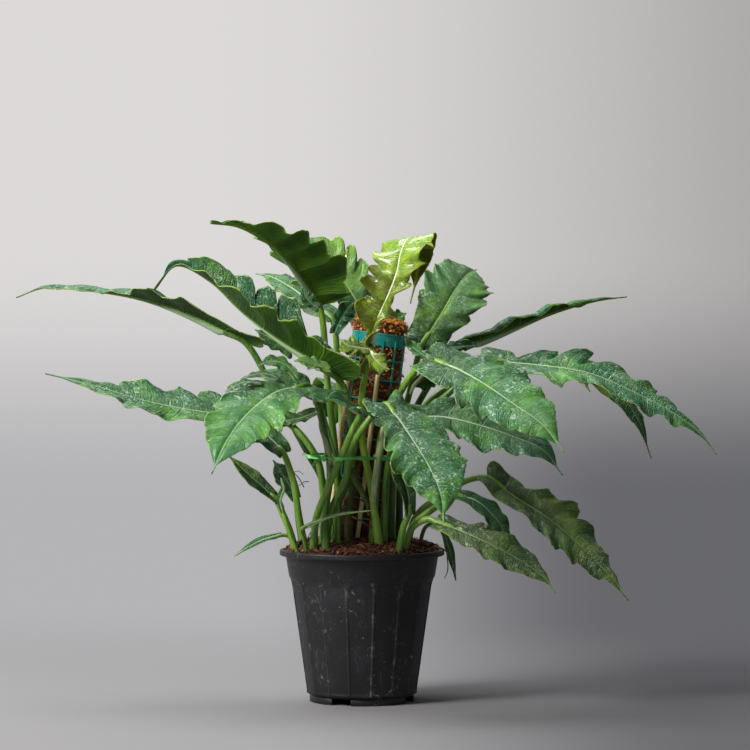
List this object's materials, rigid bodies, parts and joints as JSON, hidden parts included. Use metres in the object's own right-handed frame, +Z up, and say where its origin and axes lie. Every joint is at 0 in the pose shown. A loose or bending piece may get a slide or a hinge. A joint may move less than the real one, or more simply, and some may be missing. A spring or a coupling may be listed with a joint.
{
  "type": "potted split-leaf philodendron",
  "caption": "Potted philodendron with long lobed leaves on arching stalks, tied to a coir pole in a plastic mesh, in a ribbed black nursery pot.",
  "frame": {"origin": "on the pot's axis, at the level its foot ring stands on; the foliage's bounding box is centred on the same axis", "axes": "+Z up along the pot's axis; +X to the viewer's right across the widest spread of the leaves; -Y towards the viewer"},
  "size_m": [0.85, 0.4109, 0.5783],
  "materials": {
    "leaf": "satin",
    "young_leaf": "gloss",
    "stem": "satin",
    "pot_plastic": "satin",
    "potting_coir": "matte",
    "pole_coir": "matte",
    "mesh_plastic": "gloss",
    "bamboo": "satin",
    "ribbon": "satin"
  },
  "bodies": {
    "root": {"pot": "pot_plastic", "soil": "potting_coir", "pole_core": "pole_coir", "pole_cage": "mesh_plastic", "stake_left": "bamboo", "stake_right": "bamboo", "stem": "stem", "tie": "ribbon", "leaf_far_left": "leaf", "leaf_upper_left": "leaf", "leaf_left_low": "leaf", "leaf_front_left": "leaf", "leaf_top_left": "leaf", "leaf_top_back": "leaf", "leaf_back_left": "leaf", "leaf_young": "young_leaf", "leaf_right_back_broad": "leaf", "leaf_right_upper": "leaf", "leaf_right_long": "leaf", "leaf_right_front": "leaf", "leaf_right_mid": "leaf", "leaf_front_right": "leaf", "leaf_low_right": "leaf", "leaf_small_dark": "leaf", "leaf_low_right_2": "leaf", "leaf_narrow_right": "leaf", "leaf_center_dark": "leaf", "leaf_shaded": "leaf", "leaf_left_narrow": "leaf", "leaf_left_small": "leaf", "leaf_rolled": "leaf", "leaf_crossing": "leaf", "leaf_low_left_narrow": "leaf", "leaf_left_under": "leaf", "leaf_right_hanging": "leaf", "leaf_spear": "leaf", "leaf_back_centre": "leaf", "leaf_back_right": "leaf"}
  },
  "joints": []
}
